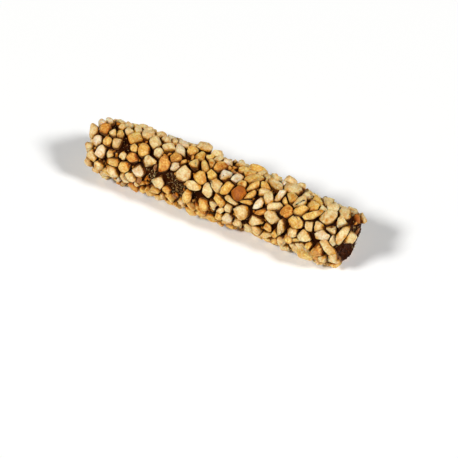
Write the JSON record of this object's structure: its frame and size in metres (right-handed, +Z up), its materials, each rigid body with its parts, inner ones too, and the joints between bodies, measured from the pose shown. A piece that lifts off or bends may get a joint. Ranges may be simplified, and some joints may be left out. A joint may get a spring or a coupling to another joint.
{
  "type": "coated wafer roll",
  "caption": "Straight rolled wafer stick covered in dark chocolate and rolled in chopped roasted nuts, lying on its side",
  "frame": {"origin": "middle of the box's underside, on the surface that the roll rests on", "axes": "+X along the stick towards the end with little nut on its face, +Y to its far side, +Z up"},
  "size_m": [0.0876, 0.02, 0.0196],
  "materials": {
    "chocolate": "dark chocolate coat, set with a dull sheen and rough where it is bare between the nuts",
    "nut_pale": "blanched nut, chopped, cream to straw yellow on the cut faces",
    "nut_golden": "roasted nut, chopped, golden on the cut faces",
    "nut_toasted": "deep roasted nut, chopped, orange brown on the skin side"
  },
  "bodies": {
    "root": {"coated_roll": "chocolate"}
  },
  "joints": []
}
